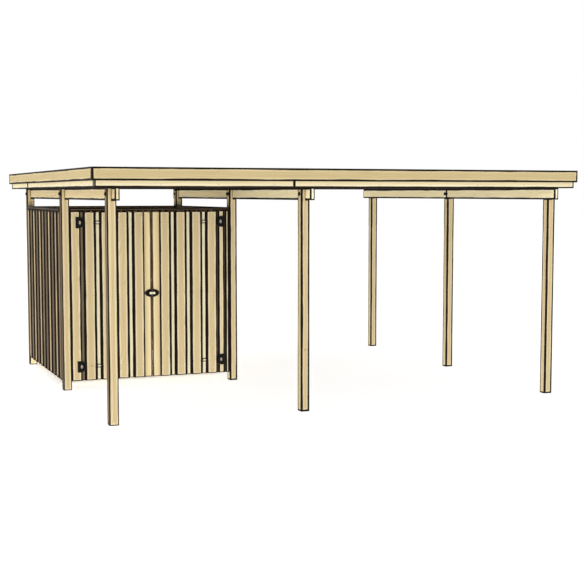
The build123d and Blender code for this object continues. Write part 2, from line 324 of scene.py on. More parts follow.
wander = add(figure, "TexNoise", W=place_in_stem, Scale=1 / WANDER_LENGTH, Detail=1, noise_dimensions="1D")
# smooth noise keeps to the middle half of its range, so twice the shift is asked for
wander = random_shift(wander.outputs["Color"], 4 * WANDER)
bent = add(figure, "VectorMath", across, wander, operation="ADD")
radius = add(figure, "VectorMath", bent, operation="LENGTH")
wave = add(figure, "TexNoise", Vector=stretched(WAVE_STRETCH), Scale=1 / WAVE_LENGTH, Detail=2)
radius = add(figure, "Math", wave, 2 * WAVE, radius, operation="MULTIPLY_ADD")
print("rings:", len(figure.nodes), "nodes")

# %% [markdown]
# A knot is where a branch left the stem. Knots are scattered with Voronoi cells that are drawn
# out lengthwise, because branches grow in whorls half a metre apart, but the distance to the
# nearest one is measured in true length, so that a knot itself stays nearly round. The rings
# flow round it.

# %% Knots
KNOT_SPACING_ACROSS = 150 * MM
KNOT_SPACING_ALONG = 520 * MM
KNOT_RADIUS = 11 * MM
KNOT_STRETCH = 1.5
KNOT_CORE = 0.6
FLOW_REACH = 4
FLOW_SHIFT = 1.5 * RING_WIDTH
SMOOTH = {"interpolation_type": "SMOOTHSTEP"}

squeeze = KNOT_SPACING_ACROSS / KNOT_SPACING_ALONG
knot_space = add(figure, "VectorMath", stretched(squeeze), 1 / KNOT_SPACING_ACROSS, operation="SCALE")
cells = add(figure, "TexVoronoi", Vector=knot_space, Scale=1)
from_knot = add(figure, "VectorMath", knot_space, cells.outputs["Position"], operation="SUBTRACT")
true_length = part_along(figure, from_knot, given["Along"], 1 / (squeeze * KNOT_STRETCH) - 1)
from_knot = add(figure, "VectorMath", from_knot, true_length, operation="ADD")
from_knot = add(figure, "VectorMath", from_knot, operation="LENGTH")
knot_size = KNOT_RADIUS / KNOT_SPACING_ACROSS
knot = add(figure, "MapRange", from_knot, knot_size, KNOT_CORE * knot_size, **SMOOTH)
flow = add(figure, "MapRange", from_knot, FLOW_REACH * knot_size, KNOT_CORE * knot_size, 0, FLOW_SHIFT,
           **SMOOTH)
radius = add(figure, "Math", radius, flow, operation="ADD")
print("knots", round(2 * KNOT_RADIUS / MM), "mm across")

# %% [markdown]
# Within one year the wood grows pale in spring and slowly darker until autumn, and then starts
# pale again at once. That saw-tooth is the fractional part of the distance in rings. The fibre
# itself is a noise that is drawn out forty times along the timber, and broader streaks twenty
# times. The tone is one random number for each timber.

# %% Late wood, streaks, fibre and tone
LATE_WOOD_RISES = (0.3, 0.88)
LATE_WOOD_ENDS = (1, 0.9)
FIBRE_WIDTH = 3 * MM
STREAK_WIDTH = 26 * MM
LENGTHWISE_STRETCH = 0.05
STREAK_ROUGHNESS = 0.55
TONE_SEED = 17.3

rings = add(figure, "Math", radius, RING_WIDTH, operation="DIVIDE")
ring = add(figure, "Math", rings, operation="FRACT")
rise = add(figure, "MapRange", ring, *LATE_WOOD_RISES, **SMOOTH)
fall = add(figure, "MapRange", ring, *LATE_WOOD_ENDS, **SMOOTH)
late = add(figure, "Math", rise, fall, operation="MULTIPLY")
streak = add(figure, "TexNoise", Vector=stretched(LENGTHWISE_STRETCH), Scale=1 / STREAK_WIDTH, Detail=3,
             Roughness=STREAK_ROUGHNESS)
fibre = add(figure, "TexNoise", Vector=stretched(LENGTHWISE_STRETCH / 2), Scale=1 / FIBRE_WIDTH, Detail=2)
tone_seed = add(figure, "Math", given["Number"], TONE_SEED, operation="ADD")
tone = add(figure, "TexWhiteNoise", W=tone_seed, noise_dimensions="1D")
add(figure, "NodeGroupOutput", late, knot, streak, fibre, tone)
print("pine figure:", len(figure.nodes), "nodes")

# %% [markdown]
# ## Edge stain and painted recess shade
# Rain and preservative soak in along the arrises, the long corner edges, and turn them nearly black. In the
# picture these dark edges outline every timber. On an inner board the dark band starts where the outer board
# in front of it ends, and there it is painted shade in the recess. On a face of a box the distance to the
# nearest arris is the middle one of the three distances to its sides: the smallest is the face itself. The
# butt joint between two lengths of a timber counts as an end too. The bare end grain of the long timbers on
# the left, which take the rain, has drunk further, so distances from it are divided by its soak. The ends of
# boards were sealed.

# %% Distance to the nearest arris
edge_colour_group, given = new_group("edge_stain", {"Offset": "Vector", "Half size": "Vector", "Along": "Vector",
                                          "Width": "Float", "Weather": "Vector", "To joint": "Float",
                                          "End soak": "Float"}, ("Stain_and_shade", "Worn_and_shaded", "Sapwood"))
inward = add(edge_colour_group, "VectorMath", given["Offset"], operation="ABSOLUTE")
inward = add(edge_colour_group, "VectorMath", given["Half size"], inward, operation="SUBTRACT")
to_end = add(edge_colour_group, "VectorMath", inward, given["Along"], operation="DOT_PRODUCT")
nearest_end = add(edge_colour_group, "Math", to_end, given["To joint"], operation="MINIMUM")
nearest_end = add(edge_colour_group, "Math", nearest_end, given["End soak"], operation="DIVIDE")
excess = add(edge_colour_group, "Math", nearest_end, to_end, operation="SUBTRACT")
excess = add(edge_colour_group, "VectorMath", given["Along"], excess, operation="SCALE")
inward = add(edge_colour_group, "VectorMath", inward, excess, operation="ADD")
inward = add(edge_colour_group, "SeparateXYZ", inward).outputs
nearer = add(edge_colour_group, "Math", inward["X"], inward["Y"], operation="MINIMUM")
further = add(edge_colour_group, "Math", inward["X"], inward["Y"], operation="MAXIMUM")
middle = add(edge_colour_group, "Math", further, inward["Z"], operation="MINIMUM")
middle = add(edge_colour_group, "Math", nearer, middle, operation="MAXIMUM")
print("distance to the arris:", len(edge_colour_group.nodes), "nodes")

# %% [markdown]
# The stain has a ragged edge, and on a sawn end it is narrower. Some faces are brown far beyond it: the left
# faces of the left posts and of the left wall's boards, as painted shade of that side, and the fronts of the
# meeting boards, worn by many hands. Each timber says which way its brown faces look, and how squarely a face
# looks that way decides how far the brown reaches. The sapwood near the edges, the outermost wood of the
# stem, is the palest.

# %% Stain, wear, painted shade and sapwood
STAIN_SHARE_SOLID = 0.7
WEAR_AND_SHADE_SOLID = 0.5
SAPWOOD_SHARE_SOLID = 0.4
SAPWOOD_WIDTH = 42 * MM
STAIN_PATCH = 70 * MM
PATCH_STRETCH = 0.8
NOISE_RANGE = (0.3, 0.7)
RAGGEDNESS = (0.85, 1.15)
END_FACE = (0.8, 0.95)
STAIN_ON_END_FACE = 0.65

point = add(edge_colour_group, "TexCoord").outputs
turned_that_way = add(edge_colour_group, "VectorMath", point["Normal"], given["Weather"], operation="DOT_PRODUCT")
turned_that_way = add(edge_colour_group, "Math", turned_that_way, 0, operation="MAXIMUM")
brown_reach = add(edge_colour_group, "Math", turned_that_way, 1, operation="ADD")
drawn_out = part_along(edge_colour_group, given["Offset"], given["Along"], -PATCH_STRETCH)
drawn_out = add(edge_colour_group, "VectorMath", point["Object"], drawn_out, operation="ADD")
ragged = add(edge_colour_group, "TexNoise", Vector=drawn_out, Scale=1 / STAIN_PATCH, Detail=3)
ragged = add(edge_colour_group, "MapRange", ragged, *NOISE_RANGE, *RAGGEDNESS)
reach = add(edge_colour_group, "Math", given["Width"], ragged, operation="MULTIPLY")
facing = add(edge_colour_group, "VectorMath", point["Normal"], given["Along"], operation="DOT_PRODUCT")
facing = add(edge_colour_group, "Math", facing, operation="ABSOLUTE")
on_end = add(edge_colour_group, "MapRange", facing, *END_FACE, 1, STAIN_ON_END_FACE)
reach = add(edge_colour_group, "Math", reach, on_end, operation="MULTIPLY")
depth = add(edge_colour_group, "Math", middle, reach, operation="DIVIDE")
# dark band along the arrises; on inner boards it is painted shade in the recess
stain = add(edge_colour_group, "MapRange", depth, 1, STAIN_SHARE_SOLID, **SMOOTH)
# faces that look the given way are brown further in: painted shade on the left sides, wear on the fronts of
# the meeting boards
depth = add(edge_colour_group, "Math", depth, brown_reach, operation="DIVIDE")
worn_and_shaded = add(edge_colour_group, "MapRange", depth, 1, WEAR_AND_SHADE_SOLID, **SMOOTH)
sapwood = add(edge_colour_group, "MapRange", middle, SAPWOOD_WIDTH, SAPWOOD_SHARE_SOLID * SAPWOOD_WIDTH, **SMOOTH)
add(edge_colour_group, "NodeGroupOutput", stain, worn_and_shaded, sapwood)
print("edge stain:", len(edge_colour_group.nodes), "nodes")

# %% [markdown]
# ## Pine finishes
# A timber of the frame keeps its mesh, and carries its facts as properties of the object.
# Boards that are laid one by one in this script carry the same facts in their mesh. A row of
# equal timbers in one mesh, such as the rafters, gives the step from one to the next, and a
# timber of two lengths says where its joint is.

# %% Facts of a timber in nodes
FACTS = {"centre": "Vector", "half_size": "Vector", "along": "Vector", "number": "Fac", "stain": "Fac",
         "weather": "Vector"}
FACTS_OF_A_ROW = {"step": "Vector", "last": "Fac", "joint": "Vector", "end_soak": "Fac"}


def row_member(tree, offset, fact):
    """For a row of timbers or lengths in one mesh: the offset and number of the one a point lies in.

    The third output is the distance to the butt joint between two lengths.
    """
    reached = add(tree, "VectorMath", offset, fact["step"], operation="DOT_PRODUCT")
    whole = add(tree, "VectorMath", fact["step"], fact["step"], operation="DOT_PRODUCT")
    index = add(tree, "Math", reached, whole, operation="DIVIDE")
    index = add(tree, "Math", index, operation="ROUND")
    index = add(tree, "Clamp", Value=index, Max=fact["last"])
    passed = add(tree, "VectorMath", fact["step"], index, operation="SCALE")
    own_offset = add(tree, "VectorMath", offset, passed, operation="SUBTRACT")
    beyond = add(tree, "VectorMath", offset, fact["joint"], operation="DOT_PRODUCT")
    to_joint = add(tree, "Math", beyond, 1, operation="SUBTRACT")
    to_joint = add(tree, "Math", to_joint, operation="ABSOLUTE")
    scale = add(tree, "VectorMath", fact["joint"], operation="LENGTH")
    to_joint = add(tree, "Math", to_joint, scale, operation="DIVIDE")
    beyond = add(tree, "Math", beyond, 1, operation="GREATER_THAN")
    own_number = add(tree, "Math", fact["number"], index, operation="ADD")
    own_number = add(tree, "Math", own_number, beyond, operation="ADD")
    return own_offset, own_number, to_joint


print("every timber says its", ", ".join(FACTS))

# %% [markdown]
# The colour of a timber follows from the masks. The early wood is pale, the late wood is darker
# and more orange, knots are brown. Planed and oiled pine has a matt surface, with a roughness
# around 0.7. The refractive index stays at the shader's default, but the fibres break up most
# of its shine, so the specular level is low.

# %% Colours and surface of pine
KNOT_BROWN = "#8A5E34"
# the dark of the arris stain, and on inner boards of painted shade in the recess
STAIN_AND_SHADE_BROWN = "#150E07"
# brown of painted shade on the left sides and of wear on the meeting boards
WEAR_AND_SHADE_BROWN = "#57442E"
TONE_RANGE = (0.965, 1.035)
STREAK_RANGE = (0.94, 1.06)
LATE_SHARE = 0.42
KNOT_SHARE = 0.5
WEAR_AND_SHADE_SHARE = 0.95
SAPWOOD_SHARE = 0.8
PINE_SHINE = 0.12
PINE_ROUGHNESS = (0.62, 0.82)
LATE_WOOD_RELIEF = 0.5
GRAIN_DEPTH = 1 * MM
GRAIN_STRENGTH = 0.35
FAR_AWAY = 100
BOARD_END_SOAK = 0.6
print("late wood is mixed in by", LATE_SHARE)

# %% Pine
def over(tree, wood, mask, share, hex_value):
    """The wood with another colour over it, as much as a mask says, times a share."""
    amount = add(tree, "Math", mask, share, operation="MULTIPLY")
    return add(tree, "Mix", amount, wood, colour(hex_value), data_type="RGBA")


def pine(name, early_wood, late_wood, sapwood, facts_in):
    """Planed pine. facts_in is OBJECT for a timber of the frame and GEOMETRY for boards laid here."""
    material, tree, surface, place = new_material(name)
    wanted = FACTS | FACTS_OF_A_ROW if facts_in == "OBJECT" else FACTS
    fact = {}
    for one, output in wanted.items():
        attribute = add(tree, "Attribute", attribute_name="timber_" + one, attribute_type=facts_in)
        fact[one] = attribute.outputs[output]
    offset = add(tree, "VectorMath", place, fact["centre"], operation="SUBTRACT")
    number, to_joint = fact["number"], FAR_AWAY
    if facts_in == "OBJECT":
        offset, number, to_joint = row_member(tree, offset, fact)
    masks = add(tree, "Group", node_tree=figure, Offset=offset, Along=fact["along"], Number=number).outputs
    edges = add(tree, "Group", node_tree=edge_colour_group, Offset=offset, Half_size=fact["half_size"],
                Along=fact["along"], Width=fact["stain"], Weather=fact["weather"], To_joint=to_joint,
                End_soak=fact.get("end_soak", BOARD_END_SOAK)).outputs

    wood = over(tree, colour(early_wood), edges["Sapwood"], SAPWOOD_SHARE, sapwood)
    wood = over(tree, wood, masks["Late wood"], LATE_SHARE, late_wood)
    tone = add(tree, "MapRange", masks["Tone"], 0, 1, *TONE_RANGE)
    streak = add(tree, "MapRange", masks["Streak"], *NOISE_RANGE, *STREAK_RANGE)
    shade = add(tree, "Math", tone, streak, operation="MULTIPLY")
    wood = add(tree, "VectorMath", wood, shade, operation="SCALE")
    wood = over(tree, wood, masks["Knot"], KNOT_SHARE, KNOT_BROWN)
    # painted shade on the left sides and wear on the meeting boards, then the arris stain, which is painted
    # shade in the recess on inner boards
    wood = over(tree, wood, edges["Worn_and_shaded"], WEAR_AND_SHADE_SHARE, WEAR_AND_SHADE_BROWN)
    wood = add(tree, "Mix", edges["Stain_and_shade"], wood, colour(STAIN_AND_SHADE_BROWN), data_type="RGBA")
    rough = add(tree, "MapRange", masks["Fibre"], 0, 1, *PINE_ROUGHNESS)
    relief = add(tree, "Math", masks["Late wood"], LATE_WOOD_RELIEF, masks["Fibre"], operation="MULTIPLY_ADD")
    bump = add(tree, "Bump", Strength=GRAIN_STRENGTH, Distance=GRAIN_DEPTH, Height=relief)
    fill(surface, Base_Color=wood, Roughness=rough, Normal=bump, Specular_IOR_Level=PINE_SHINE)
    return material


print("pine is rough by", PINE_ROUGHNESS)

# %% [markdown]
# Each group of timber has its own shade: early wood, late wood and sapwood. The rim boards are pale. The
# beams of the middle and right lines, under the roof, and the inner boards behind the outer ones are paler
# still, as painted light that makes up for the shade they stand in; the inner boards of the doors are the
# palest. The caps over the walls and the jambs behind the doors are dark brown as painted shade, and the
# rough timber of the roof is nearly black as painted shade of its underside.

# %% Shades
PINE_SHADES = {
    "post": ("#D2BC8E", "#BBA073", "#EEDDB3"),
    "beam": ("#E0CA9A", "#CAAF7B", "#F4E4BA"),
    # painted light: paler than the left beams, to make up for the shade under the roof
    "sheltered_beam": ("#FFEFC0", "#F0DCA6", "#FFF8D8"),
    "fascia": ("#CDB98B", "#B99F6B", "#E4D3A6"),
    "rim": ("#F2E2B6", "#DEC894", "#FAEFCD"),
    "cladding": ("#D6C093", "#BEA471", "#FAECC8"),
    # painted light: the inner boards, and on the doors the meeting boards, are paler to make up for the shade
    # of the recess behind the outer boards; the narrow inner boards of the doors are the palest
    "inner": ("#F2DAA6", "#DEC48A", "#FCEAC0"),
    "door_inner": ("#FFEFC2", "#F6DCA8", "#FFF6D4"),
    # painted shade: the jambs are dark so that the slot between strip and door looks dark
    "jamb": ("#8C795F", "#6F5D46", "#98866B"),
    # painted shade: nearly black, so that the roof's underside shows as a dark line
    "roof": ("#120D08", "#0B0805", "#181109"),
    # painted shade: dark brown for the shade under the roof over the tops of the walls
    "cap": ("#604E3B", "#483929", "#6C5A46"),
}


def pine_of(shade, facts_in):
    """The pine of a shade, made when it is first asked for."""
    name = ("pine_" if facts_in == "OBJECT" else "laid_pine_") + shade
    return bpy.data.materials.get(name) or pine(name, *PINE_SHADES[shade], facts_in)


print(len(PINE_SHADES), "shades of pine")

# %% [markdown]
# The arrises themselves are eased with a plane so that they don't splinter. A Bevel modifier
# cuts them and gives its new faces a stained material of their own. The frame's meshes come with
# each face apart, so a Weld modifier joins them first.

# %% Arrises
ARRIS_LIGHTER = "#2B1F13"
ARRIS_PATCH = 60 * MM
ARRIS_ROUGHNESS = 0.8
ARRIS_GRIT = 0.2
WELD_DISTANCE = 0.01 * MM
SHARPEST_LEFT = math.radians(50)


def patchy(tree, place, size, dark, light):
    """A noise with patches of a size, and the colour between dark and light that goes with it."""
    patches = add(tree, "TexNoise", Vector=place, Scale=1 / size, Detail=3)
    return patches, add(tree, "Mix", patches, colour(dark), colour(light), data_type="RGBA")


def ease_edges(piece, width, slot_of_edge=1):
    """Rounds the sharp edges of a piece. A slot of -1 gives them the material beside them."""
    weld = piece.modifiers.new("join_faces", "WELD")
    weld.merge_threshold = WELD_DISTANCE
    bevel = piece.modifiers.new("eased_arris", "BEVEL")
    bevel.width = width
    bevel.segments = 2
    bevel.limit_method = "ANGLE"
    bevel.angle_limit = SHARPEST_LEFT
    bevel.material = slot_of_edge


arris_material, tree, surface, place = new_material("weathered_arris")
patches, brown = patchy(tree, place, ARRIS_PATCH, STAIN_AND_SHADE_BROWN, ARRIS_LIGHTER)
grit = add(tree, "Bump", Strength=ARRIS_GRIT, Distance=GRAIN_DEPTH, Height=patches)
fill(surface, Base_Color=brown, Normal=grit, Roughness=ARRIS_ROUGHNESS, Specular_IOR_Level=PINE_SHINE)
print("edges sharper than", round(math.degrees(SHARPEST_LEFT)), "degrees are eased")

# %% [markdown]
# ## Timbers of the frame
# Posts, beams, fascia boards and wall caps are one timber each, and their shape in the frame is
# right. They keep it, and get their facts and their pine. A row of timbers gives the centre and
# half size of its first one.

# %% Facts of a timber
AXES = {"x": Vector((1, 0, 0)), "y": Vector((0, 1, 0)), "z": Vector((0, 0, 1))}
NUMBERS_PER_PIECE = 60
timber_numbers = itertools.count(1)


def set_facts(piece, low, high, along, stain, weather=(0, 0, 0), end_soak=1, step=(1, 0, 0), last=0,
              joint=FAR_AWAY):
    """Tells a piece what its pine needs.

    end_soak is how many times further the stain reaches from an end than from an arris, and joint
    is the distance of a butt joint from the low end.
    """
    length = (high - low).dot(AXES[along])
    facts = {"centre": (low + high) / 2, "half_size": (high - low) / 2, "along": AXES[along],
             "number": next(timber_numbers) * NUMBERS_PER_PIECE, "stain": stain, "weather": weather,
             "end_soak": end_soak, "step": step, "last": last,
             "joint": AXES[along] / (joint - length / 2)}
    for fact, value in facts.items():
        is_number = isinstance(value, (int, float))
        piece["timber_" + fact] = float(value) if is_number else [float(part) for part in value]


def dress(node, materials):
    """Gives a piece of the frame its materials."""
    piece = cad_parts[node]
    piece.data.materials.clear()
    for material in materials:
        piece.data.materials.append(material)
    return piece


def finish_timber(node, shade, along, stain, edge, record_slot, box=None, **more_facts):
    """Gives a timber of the frame its pine, its eased edges and its facts."""
    wood = pine_of(shade, "OBJECT")
    piece = dress(node, [wood, arris_material] if edge else [wood])
    set_facts(piece, *(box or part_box(node)), along, stain, **more_facts)
    if edge:
        ease_edges(piece, edge)


print("a piece has room for", NUMBERS_PER_PIECE, "timbers of one mesh")

# %% Posts, beams, fascia and caps
COLUMNS = ("left", "middle", "right")
ROWS = ("front", "middle", "back")
ROOF_SIDES = {"front": "x", "back": "x", "left": "y", "right": "y"}
CAPS = {"wall_cap_left": "y", "wall_cap_right": "y", "wall_cap_back": "x", "door_head": "x"}
POST_ARRIS = 5 * MM
ARRIS = 4 * MM
CAP_ARRIS = 3 * MM
STAIN = 17 * MM
BROAD_STAIN = 22 * MM
POST_STAIN = {"left": 13 * MM, "middle": BROAD_STAIN, "right": BROAD_STAIN}
CAP_STAIN = 16 * MM
# the left faces of the left posts are brown, as painted shade of that side
LEFT_POST_SHADE = {"front": 3.6, "middle": 8, "back": 8}
END_SOAK = {"front": 1, "back": 1, "left": 2.5, "right": 1}

for column in COLUMNS:
    for row in ROWS:
        weather = (-LEFT_POST_SHADE[row] if column == "left" else 0, 0, 0)
        finish_timber("post_" + column + "_" + row, "post", "z", POST_STAIN[column], POST_ARRIS,
                      "post_timber", weather=weather)
    for length in ("front", "back"):
        # the beams of the middle and right lines get the pine with painted light against the roof's shade
        shade = "beam" if column == "left" else "sheltered_beam"
        finish_timber("beam_" + column + "_" + length, shade, "y", BROAD_STAIN, ARRIS, "beam_timber")
for side, along in ROOF_SIDES.items():
    finish_timber("fascia_" + side, "fascia", along, BROAD_STAIN, ARRIS, "fascia_timber",
                  end_soak=END_SOAK[side])
# the caps and the door head get the dark brown that paints the shade under the roof
for node, along in CAPS.items():
    finish_timber(node, "cap", along, CAP_STAIN, CAP_ARRIS, "cap_timber")
print("timbers of the frame finished")

# %% [markdown]
# The rim boards are planed thin and made of two lengths on each side, butted together with a
# 2 mm joint. The darkened ends of the two lengths make the joint show.

# %% Rim boards
FIRST_LENGTH = {"x": 1938 * MM, "y": 3465 * MM}

for side, along in ROOF_SIDES.items():
    finish_timber("rim_" + side, "rim", along, STAIN, ARRIS, "rim_timber", joint=FIRST_LENGTH[along],
                  end_soak=END_SOAK[side])
print("rim joints", [round(length, 3) for length in FIRST_LENGTH.values()], "m from the ends")

# %% [markdown]
# The rafters lie on the beams, and the deck boards on the rafters. Both are rough sawn and coloured nearly
# black, as painted shade, so that from the side the roof's underside is a black line. Each is a row of equal
# timbers in one mesh, so the pine gets the first timber's box and the step to the next.

# %% Rafters and deck
RAFTER_COUNT = 8
RAFTER_THICKNESS = 45 * MM
DECK_BOARD_PITCH = 127 * MM
DECK_STAIN = STAIN / 2

low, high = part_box("rafters")
step = (high.y - low.y - RAFTER_THICKNESS) / (RAFTER_COUNT - 1)
first_rafter = (low, Vector((high.x, low.y + RAFTER_THICKNESS, high.z)))
finish_timber("rafters", "roof", "x", STAIN, ARRIS, "rafter_timber", first_rafter, step=(0, step, 0),
              last=RAFTER_COUNT - 1)

low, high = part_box("roof_deck")
groove_count = int((high.x - low.x) / DECK_BOARD_PITCH)
first_groove = (low.x + high.x) / 2 - (groove_count - 1) / 2 * DECK_BOARD_PITCH
first_board = (Vector((first_groove - DECK_BOARD_PITCH, low.y, low.z)),
               Vector((first_groove, high.y, high.z)))
finish_timber("roof_deck", "roof", "y", DECK_STAIN, None, "deck_timber", first_board,
              step=(DECK_BOARD_PITCH, 0, 0), last=groove_count)
print(RAFTER_COUNT, "rafters and", groove_count + 1, "deck boards")

# %% [markdown]
# ## Boards laid one by one
# A wall or door leaf is made of many boards, but in the frame it is one solid, in which no board
# can have arrises and a figure of its own. So here each board is laid by itself: a box that is
# long in one direction, with a slight bow as every board has. It is described as rings of
# corners, one behind the other, so that it can bend and be cut away between them.

# %% A board and its rings
BOARD_STEPS = 6
BOARD_STAIN = 20 * MM
HOUSING_DEPTH = 5.4 * MM
random.seed(7)


def board(low, high, along, finish=0, bow=0, stain=BOARD_STAIN, weather=(0, 0, 0), lapped=0, profile=None,
          housings=()):
    """One board as rings of corners from its low end to its high end.

    lapped is how much of each edge its neighbours cover, which is how far the stain starts inside it; on an
    inner board that band is painted shade in the recess. profile gives its cross-section, and housings are
    stretches where its back is cut away.
    """
    axis = "xyz".index(along)
    u, v = [i for i in range(3) if i != axis]
    profile = profile or [(low[u], low[v]), (high[u], low[v]), (high[u], high[v]), (low[u], high[v])]
    back = max(corner[1] for corner in profile)
    cut = [(a, b - HOUSING_DEPTH if b == back else b) for a, b in profile]
    steps = [low[axis] + (high[axis] - low[axis]) * i / BOARD_STEPS for i in range(BOARD_STEPS + 1)]
    rings = [(place, profile) for place in steps if not any(a <= place <= b for a, b in housings)]
    for start, stop in housings:
        rings += [(start, profile), (start, cut), (stop, cut), (stop, profile)]
    rings.sort(key=lambda ring: ring[0])
    corners = []
    for place, ring in rings:
        for corner in ring:
            point = Vector((0, 0, 0))
            point[axis], point[u], point[v] = place, *corner
            corners.append(point)
    sideways = Vector((0, 0, 0))
    sideways[u] = 1
    return {"corners": corners, "per_ring": len(profile), "low": Vector(low), "high": Vector(high),
            "axis": axis, "sideways": sideways, "finish": finish, "bow": bow, "stain": stain,
            "weather": weather, "lapped": lapped}


print("a board is bent in", BOARD_STEPS, "steps")

# %% [markdown]
# Whatever this script makes itself, a wall of boards or a row of nails, is one mesh that rides
# on a body of the frame. Faces run from ring to ring, and a last step turns them all outward.

# %% A piece of its own
def ring_faces(first, count, per_ring):
    """The faces between rings of points, where first is the number of the first point."""
    faces = [tuple(reversed(range(first, first + per_ring)))]
    for start in range(first, first + count - per_ring, per_ring):
        for corner in range(per_ring):
            a, b = start + corner, start + (corner + 1) % per_ring
            faces.append((a, b, b + per_ring, a + per_ring))
    return faces + [tuple(range(first + count - per_ring, first + count))]


def new_piece(name, points, faces, materials, body):
    """Makes a piece with every face turned outward, whichever way it was described."""
    mesh = bpy.data.meshes.new(name)
    mesh.from_pydata(points, [], faces)
    shape = bmesh.new()
    shape.from_mesh(mesh)
    bmesh.ops.recalc_face_normals(shape, faces=shape.faces)
    shape.to_mesh(mesh)
    shape.free()
    for material in materials:
        mesh.materials.append(material)
    piece = bpy.data.objects.new(name, mesh)
    bpy.context.scene.collection.objects.link(piece)
    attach(piece, body)
    return piece


print("two rings of four corners make", len(ring_faces(0, 8, 4)), "faces")

# %% [markdown]
# All boards of a wall or leaf are one piece, which stands for a solid of the frame. Each board
# carries its facts in attributes of the mesh.

# %% Join the boards
BOARD_ARRIS = 3 * MM


def lay_boards(name, boards, to_frame, shades, body, node):
    """Makes one mesh of boards, which stands for a node of the frame."""
    turn = to_frame.to_3x3()
    points, faces, finishes = [], [], []
    facts = {fact: [] for fact in FACTS}
    for one in boards:
        low, high = to_frame @ one["low"], to_frame @ one["high"]
        covered = turn @ one["sideways"] * one["lapped"]
        half_size = Vector([abs(high[i] - low[i]) / 2 - abs(covered[i]) for i in range(3)])
        axis = one["axis"]
        along = [float(abs(value) > 0.5) for value in turn.col[axis]]
        lean = random.uniform(-one["bow"], one["bow"])
        span = one["high"][axis] - one["low"][axis]
        first = len(points)
        for corner in one["corners"]:
            share = (corner[axis] - one["low"][axis]) / span
            points.append(to_frame @ (corner + one["sideways"] * (lean * math.sin(math.pi * share))))
        new_faces = ring_faces(first, len(points) - first, one["per_ring"])
        faces += new_faces
        finishes += [one["finish"]] * len(new_faces)
        own_facts = ((low + high) / 2, half_size, along, [float(next(timber_numbers))], [one["stain"]],
                     turn @ Vector(one["weather"]))
        for fact, value in zip(FACTS, own_facts):
            facts[fact] += [*value] * (len(points) - first)
    materials = [pine_of(shade, "GEOMETRY") for shade in shades] + [arris_material]
    piece = new_piece(name, points, faces, materials, body)
    piece.data.polygons.foreach_set("material_index", finishes)
    for fact, values in facts.items():
        kind, key = ("FLOAT_VECTOR", "vector") if FACTS[fact] == "Vector" else ("FLOAT", "value")
        piece.data.attributes.new("timber_" + fact, kind, "POINT").data.foreach_set(key, values)
    ease_edges(piece, BOARD_ARRIS, len(shades))
    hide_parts(node)
    print(name, "has", len(boards), "boards")


print("arrises of boards are", round(BOARD_ARRIS / MM), "mm")

# %% [markdown]
# ### Shed walls
# The cladding is board on board: outer boards stand with gaps between them, and inner boards
# cover the gaps from behind. Three rails tie them together inside. A wall is laid out flat,
# with u along the wall, v inward and z up, and a matrix then stands it between its posts.

# %% Sizes of a wall
BOARD_THICKNESS = 19 * MM
BOARD_WIDTH = 125 * MM
BOARD_LAP = 30 * MM
WIDEST_GAP = 70 * MM
RAIL_THICKNESS = 45 * MM
RAIL_HEIGHT = 70 * MM
LOW_RAIL_RISE = 82 * MM
HIGH_RAIL_DROP = 157 * MM
BOARD_BOW = 1.5 * MM
# painted shade: the dark band along the edges of an inner board where the outer boards lap it
INNER_EDGE_SHADE = 16 * MM
NAIL_INSET = 22 * MM
print("boards are", round(BOARD_WIDTH / MM), "by", round(BOARD_THICKNESS / MM), "mm")

# %% Wall boards
def three_levels(low, high):
    """Heights of the low, middle and high rail or ledge."""
    return low, (low + high) / 2, high


def wall_boards(span, foot, head, weather_range):
    """Outer boards, inner boards and rails of a wall in its own u, v, z, and the places of its nails."""
    outer_count = int((span + WIDEST_GAP) / (BOARD_WIDTH + WIDEST_GAP)) + 1
    gap = (span - outer_count * BOARD_WIDTH) / (outer_count - 1)
    levels = three_levels(foot + LOW_RAIL_RISE, head - HIGH_RAIL_DROP)
    boards, nails = [], []
    for i in range(outer_count):
        left = i * (BOARD_WIDTH + gap)
        boards.append(board((left, 0, foot), (left + BOARD_WIDTH, BOARD_THICKNESS, head), "z", bow=BOARD_BOW,
                            weather=(0, -random.uniform(*weather_range), 0)))
        nails += [Vector((u, 0, level + RAIL_HEIGHT / 2)) for level in levels
                  for u in (left + NAIL_INSET, left + BOARD_WIDTH - NAIL_INSET)]
    for i in range(outer_count - 1):
        left = i * (BOARD_WIDTH + gap) + BOARD_WIDTH - BOARD_LAP
        right = left + gap + 2 * BOARD_LAP
        boards.append(board((left, BOARD_THICKNESS, foot), (right, 2 * BOARD_THICKNESS, head), "z", 1,
                            stain=INNER_EDGE_SHADE, lapped=BOARD_LAP,
                            weather=(0, -random.uniform(*weather_range), 0)))
        nails += [Vector(((left + right) / 2, BOARD_THICKNESS, level + RAIL_HEIGHT / 2)) for level in levels]
    for level in levels:
        boards.append(board((0, 2 * BOARD_THICKNESS, level),
                            (span, 2 * BOARD_THICKNESS + RAIL_THICKNESS, level + RAIL_HEIGHT), "x"))
    return boards, nails


print("outer boards lap the inner ones by", round(BOARD_LAP / MM), "mm")

# %% [markdown]
# The outer faces of the left wall's boards are brown, each by its own amount, as painted shade of the left
# side. The right wall and the back get no brown.

# %% Three walls
WALLS = {
    "left": {"run": (0, 1, 0), "inward": (1, 0, 0), "weather": (1.5, 6)},
    "right": {"run": (0, 1, 0), "inward": (-1, 0, 0), "weather": (0, 0)},
    "back": {"run": (1, 0, 0), "inward": (0, -1, 0), "weather": (0, 0)},
}


def standing(corner, run, inward):
    """The matrix that takes u, v, z of a wall to the frame."""
    matrix = Matrix.Identity(4)
    matrix.col[0][:3], matrix.col[1][:3] = run, inward
    matrix.translation = corner
    return matrix


